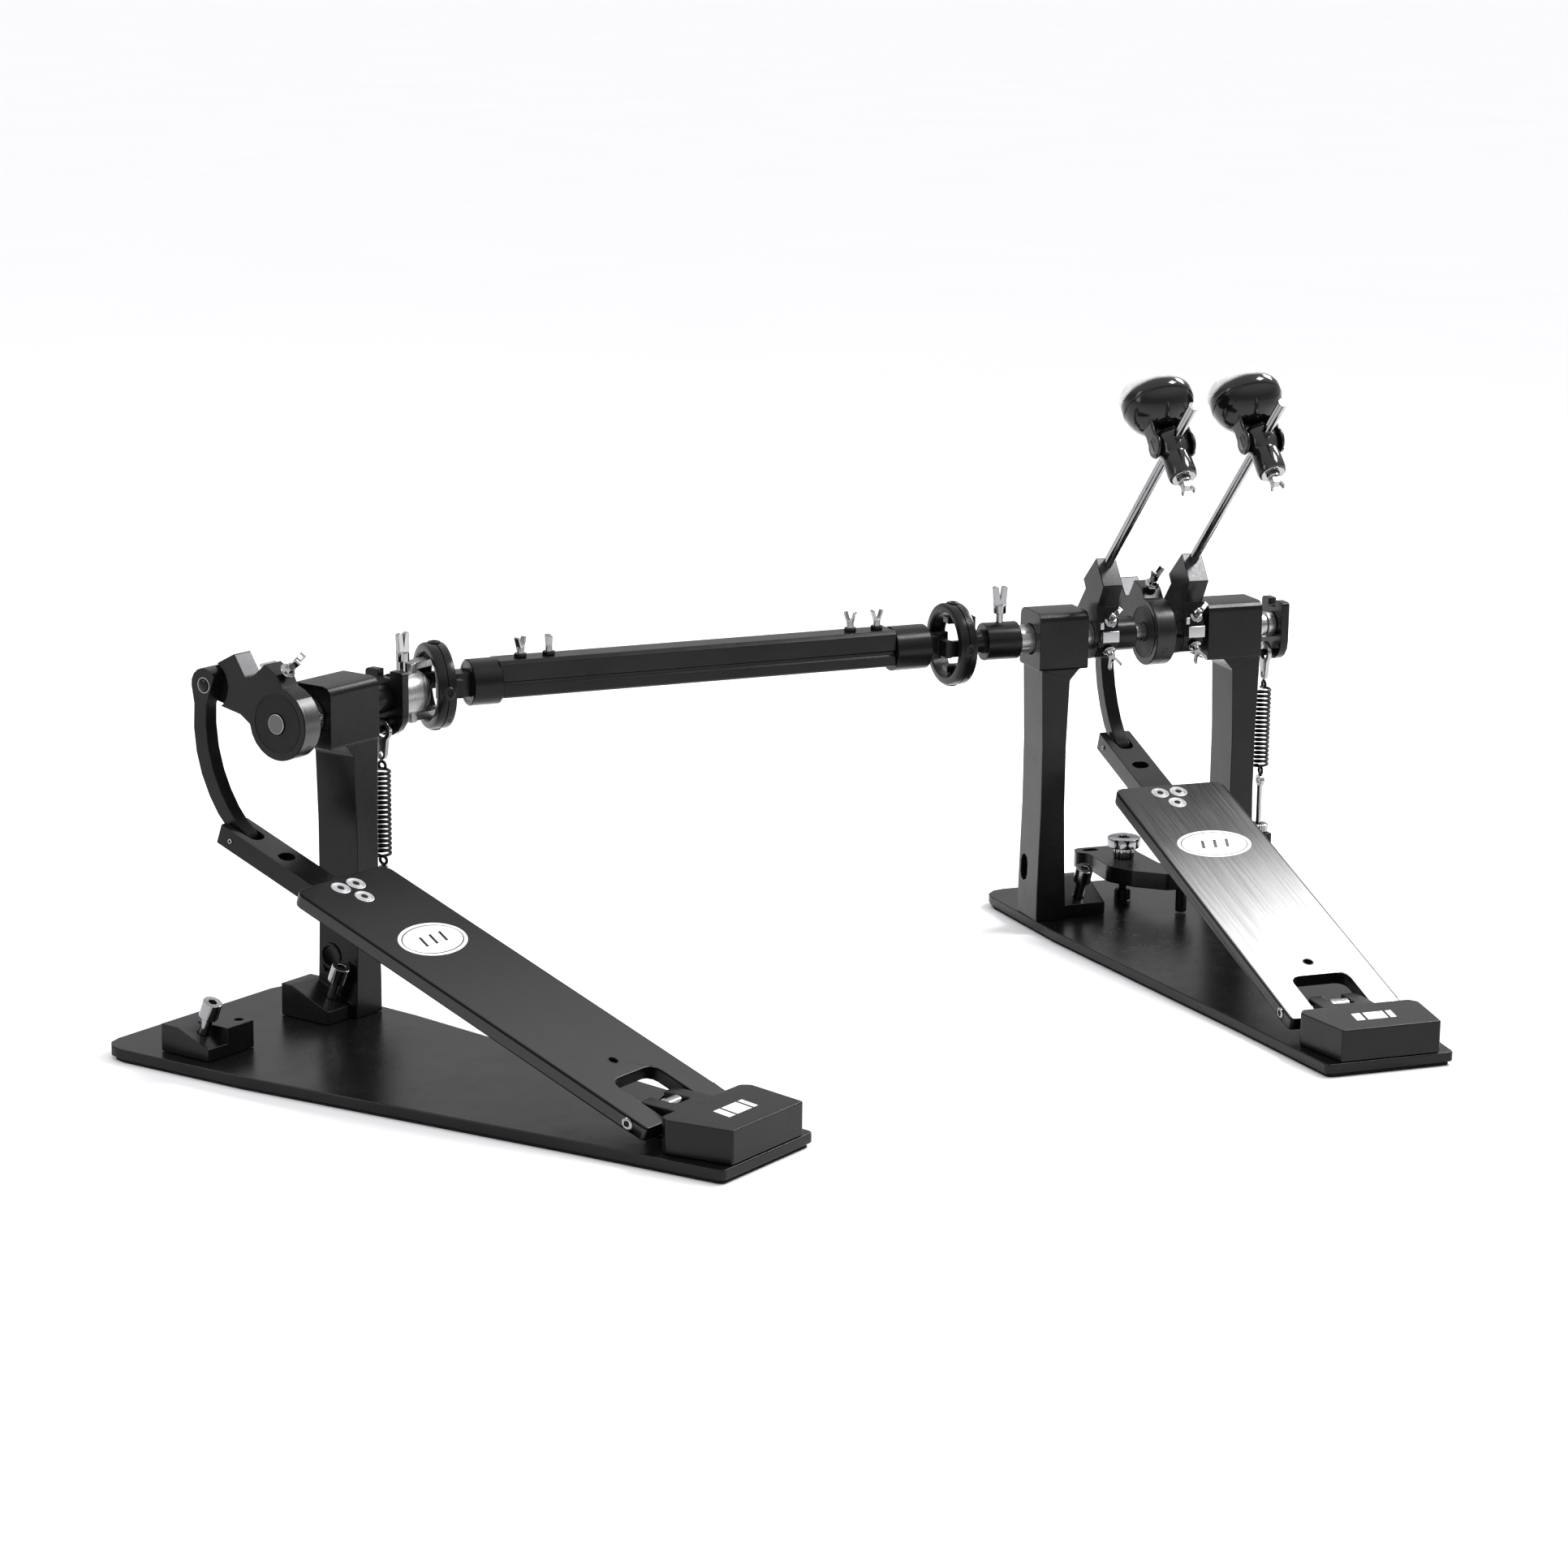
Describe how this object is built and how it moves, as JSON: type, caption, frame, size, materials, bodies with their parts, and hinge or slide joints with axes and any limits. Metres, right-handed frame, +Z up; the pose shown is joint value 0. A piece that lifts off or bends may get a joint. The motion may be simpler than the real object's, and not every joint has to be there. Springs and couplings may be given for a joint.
{
  "type": "bass drum pedal",
  "caption": "Double bass drum pedal: hinged footboards turn axles through bowed links, and a telescopic universal-joint shaft lets the far board swing the second beater.",
  "frame": {"origin": "on the floor under the primary pedal's axle, on the centre line of its footboard", "axes": "+X to the player's right along the primary axle, +Y towards the drum, +Z up"},
  "size_m": [0.8636, 0.5279, 0.4076],
  "materials": {
    "black_anodised": "satin black anodising",
    "satin_board": "brushed satin",
    "chrome": "polished",
    "bright_steel": "fine turned",
    "black_plastic": "gloss",
    "rubber": "matte",
    "felt": "wool felt",
    "spring_steel": "black oxide"
  },
  "bodies": {
    "primary_base": {"primary_rubber_mat": "rubber", "primary_base_plate": "black_anodised", "primary_heel_block": "black_anodised", "primary_hinge_pin": "bright_steel", "primary_left_post": "black_anodised", "primary_right_post": "black_anodised", "primary_eye_bolt": "chrome", "primary_spring": "spring_steel"},
    "primary_board": {"primary_footboard": "satin_board", "primary_extension_bar": "black_anodised"},
    "primary_axle": {"primary_axle": "bright_steel", "primary_drive_hub": "black_anodised", "primary_spring_rocker": "black_anodised", "right_beater_hub": "black_anodised"},
    "primary_link": {"primary_drive_link": "black_anodised"},
    "primary_hook": {"primary_spring_hook": "chrome"},
    "primary_nut": {"primary_tension_nut": "chrome"},
    "hoop_clamp": {"hoop_clamp_plate": "black_anodised"},
    "hoop_knob": {"hoop_clamp_knob": "chrome"},
    "primary_spur": {"primary_spur_bolt": "chrome"},
    "left_beater_drive": {"left_beater_sleeve": "bright_steel", "left_beater_hub": "black_anodised", "primary_coupling": "black_anodised"},
    "primary_key": {"primary_coupling_key": "chrome"},
    "primary_ring": {"primary_joint_ring": "black_anodised"},
    "left_rod": {"left_beater_rod": "chrome", "left_beater_collar": "black_plastic"},
    "left_head": {"left_beater_head": "black_plastic", "left_beater_felt": "felt"},
    "left_collar_screw": {"left_collar_screw": "chrome"},
    "right_rod": {"right_beater_rod": "chrome", "right_beater_collar": "black_plastic"},
    "right_head": {"right_beater_head": "black_plastic", "right_beater_felt": "felt"},
    "right_collar_screw": {"right_collar_screw": "chrome"},
    "drive_tube": {"drive_tube": "black_anodised", "tube_fork": "black_anodised"},
    "inner_shaft": {"inner_shaft": "black_anodised"},
    "secondary_base": {"secondary_rubber_mat": "rubber", "secondary_base_plate": "black_anodised", "secondary_heel_block": "black_anodised", "secondary_hinge_pin": "bright_steel", "secondary_post": "black_anodised", "secondary_spur_block": "black_anodised", "secondary_eye_bolt": "chrome", "secondary_spring": "spring_steel"},
    "secondary_board": {"secondary_footboard": "black_anodised", "secondary_extension_bar": "black_anodised"},
    "secondary_axle": {"secondary_axle": "bright_steel", "secondary_drive_hub": "black_anodised", "secondary_spring_rocker": "black_anodised", "secondary_coupling": "bright_steel"},
    "secondary_link": {"secondary_drive_link": "black_anodised"},
    "secondary_hook": {"secondary_spring_hook": "chrome"},
    "secondary_nut": {"secondary_tension_nut": "chrome"},
    "secondary_key": {"secondary_coupling_key": "chrome"},
    "secondary_ring": {"secondary_joint_ring": "black_anodised"},
    "secondary_rear_spur": {"secondary_rear_spur_bolt": "chrome"},
    "secondary_front_spur": {"secondary_front_spur_bolt": "chrome"}
  },
  "joints": [
    {"name": "primary_board_hinge", "type": "hinge", "parent": "primary_base", "child": "primary_board", "pos_m": [0, -0.309, 0.022], "axis": [-1, 0, 0], "range_deg": [0, 7.8]},
    {"name": "primary_axle_turn", "type": "hinge", "parent": "primary_base", "child": "primary_axle", "pos_m": [0, 0, 0.21], "axis": [-1, 0, 0], "range_deg": [0, 43.75], "stiffness_Nm_per_rad": 1.25, "springref_deg": -28.65},
    {"name": "primary_link_pivot", "type": "hinge", "parent": "primary_axle", "child": "primary_link", "pos_m": [0, 0.05976, 0.21531], "axis": [1, 0, 0], "range_deg": [0, 55.98]},
    {"name": "primary_hook_lift", "type": "slide", "parent": "primary_base", "child": "primary_hook", "axis": [0, -0.8862, 0.4633], "range_m": [0, 0.01499], "deforming": ["primary_spring"]},
    {"name": "primary_nut_turn", "type": "hinge", "parent": "primary_base", "child": "primary_nut", "pos_m": [0.0955, -0.002, 0.058], "axis": [0, 0, 1], "continuous": true},
    {"name": "secondary_board_hinge", "type": "hinge", "parent": "secondary_base", "child": "secondary_board", "pos_m": [-0.47247, -0.36849, 0.022], "axis": [-0.8252, -0.5648, 0], "range_deg": [0, 8.2]},
    {"name": "secondary_axle_turn", "type": "hinge", "parent": "secondary_base", "child": "secondary_axle", "pos_m": [-0.647, -0.1135, 0.21], "axis": [-0.8252, -0.5648, 0], "range_deg": [0, 45.04], "stiffness_Nm_per_rad": 1.25, "springref_deg": -28.65},
    {"name": "secondary_link_pivot", "type": "hinge", "parent": "secondary_axle", "child": "secondary_link", "pos_m": [-0.67932, -0.06628, 0.22804], "axis": [0.8252, 0.5648, 0], "range_deg": [0, 53.24]},
    {"name": "secondary_hook_lift", "type": "slide", "parent": "secondary_base", "child": "secondary_hook", "axis": [0.4984, -0.7282, 0.4704], "range_m": [0, 0.01539], "deforming": ["secondary_spring"]},
    {"name": "secondary_nut_turn", "type": "hinge", "parent": "secondary_base", "child": "secondary_nut", "pos_m": [-0.56706, -0.06121, 0.058], "axis": [0, 0, 1], "continuous": true},
    {"name": "left_beater_turn", "type": "hinge", "parent": "primary_base", "child": "left_beater_drive", "pos_m": [-0.06, 0, 0.21], "axis": [-1, 0, 0], "range_deg": [0, 40.37]},
    {"name": "primary_ring_tilt", "type": "hinge", "parent": "left_beater_drive", "child": "primary_ring", "pos_m": [-0.146, 0, 0.21], "axis": [0, 0, -1], "range_deg": [0, 0.95]},
    {"name": "drive_tube_spin", "type": "hinge", "parent": "primary_base", "child": "drive_tube", "pos_m": [-0.146, 0, 0.21], "axis": [-0.9971, -0.0761, 0], "range_deg": [0, 40.28]},
    {"name": "secondary_base_slide", "type": "slide", "parent": "primary_base", "child": "secondary_base", "axis": [0.9971, 0.0761, 0], "range_m": [-0.09, 0.005]},
    {"name": "secondary_ring_tilt", "type": "hinge", "parent": "secondary_axle", "child": "secondary_ring", "pos_m": [-0.52322, -0.02878, 0.21], "axis": [0, 0, 1], "range_deg": [0, 6.42]},
    {"name": "inner_shaft_spin", "type": "hinge", "parent": "secondary_base", "child": "inner_shaft", "pos_m": [-0.52322, -0.02878, 0.21], "axis": [-0.9971, -0.0761, 0], "range_deg": [0, 40.28]},
    {"name": "left_rod_height", "type": "slide", "parent": "left_beater_drive", "child": "left_rod", "axis": [0, -0.7071, 0.7071], "range_m": [-0.03, 0.012]},
    {"name": "left_head_tilt", "type": "hinge", "parent": "left_rod", "child": "left_head", "pos_m": [-0.0345, -0.10819, 0.3592], "axis": [1, 0, 0], "range_deg": [-12, 12]},
    {"name": "left_collar_screw_turn", "type": "hinge", "parent": "left_rod", "child": "left_collar_screw", "pos_m": [-0.0345, -0.1294, 0.33799], "axis": [0, 0.7071, 0.7071], "continuous": true},
    {"name": "right_rod_height", "type": "slide", "parent": "primary_axle", "child": "right_rod", "axis": [0, -0.7071, 0.7071], "range_m": [-0.03, 0.012]},
    {"name": "right_head_tilt", "type": "hinge", "parent": "right_rod", "child": "right_head", "pos_m": [0.0315, -0.10819, 0.3592], "axis": [1, 0, 0], "range_deg": [-12, 12]},
    {"name": "right_collar_screw_turn", "type": "hinge", "parent": "right_rod", "child": "right_collar_screw", "pos_m": [0.0315, -0.1294, 0.33799], "axis": [0, 0.7071, 0.7071], "continuous": true},
    {"name": "primary_key_turn", "type": "hinge", "parent": "left_beater_drive", "child": "primary_key", "pos_m": [-0.1105, 0, 0.21], "axis": [0, 0, 1], "continuous": true},
    {"name": "secondary_key_turn", "type": "hinge", "parent": "secondary_axle", "child": "secondary_key", "pos_m": [-0.5488, -0.04629, 0.21], "axis": [0, 0, 1], "continuous": true},
    {"name": "primary_spur_turn", "type": "hinge", "parent": "primary_base", "child": "primary_spur", "pos_m": [-0.046, -0.007, 0.03], "axis": [0, -0.3746, 0.9272], "continuous": true},
    {"name": "secondary_rear_spur_turn", "type": "hinge", "parent": "secondary_base", "child": "secondary_rear_spur", "pos_m": [-0.60761, -0.09138, 0.03], "axis": [0.2116, -0.3091, 0.9272], "continuous": true},
    {"name": "secondary_front_spur_turn", "type": "hinge", "parent": "secondary_base", "child": "secondary_front_spur", "pos_m": [-0.70196, -0.14385, 0.03], "axis": [0.2116, -0.3091, 0.9272], "continuous": true},
    {"name": "hoop_clamp_tilt", "type": "hinge", "parent": "primary_base", "child": "hoop_clamp", "pos_m": [0.025, -0.024, 0.01], "axis": [-1, 0, 0], "range_deg": [0, 5]},
    {"name": "hoop_clamp_knob_drop", "type": "slide", "parent": "primary_base", "child": "hoop_knob", "axis": [0, 0, -1], "range_m": [0, 0.0036]}
  ],
  "couplings": [
    {"joint": "primary_axle_turn", "follows": "primary_board_hinge", "ratio": 5.571},
    {"joint": "primary_link_pivot", "follows": "primary_board_hinge", "ratio": 7.139},
    {"joint": "primary_hook_lift", "follows": "primary_board_hinge", "m_per_rad": 0.10941},
    {"joint": "secondary_axle_turn", "follows": "secondary_board_hinge", "ratio": 5.4565},
    {"joint": "secondary_link_pivot", "follows": "secondary_board_hinge", "ratio": 6.456},
    {"joint": "secondary_hook_lift", "follows": "secondary_board_hinge", "m_per_rad": 0.10681},
    {"joint": "left_beater_turn", "follows": "secondary_board_hinge", "ratio": 4.8871},
    {"joint": "primary_ring_tilt", "follows": "secondary_board_hinge", "ratio": 0.10369},
    {"joint": "drive_tube_spin", "follows": "secondary_board_hinge", "ratio": 4.8762},
    {"joint": "secondary_ring_tilt", "follows": "secondary_board_hinge", "ratio": 0.7708},
    {"joint": "inner_shaft_spin", "follows": "secondary_board_hinge", "ratio": 4.8762},
    {"joint": "hoop_clamp_knob_drop", "follows": "hoop_clamp_tilt", "m_per_rad": 0.04}
  ]
}
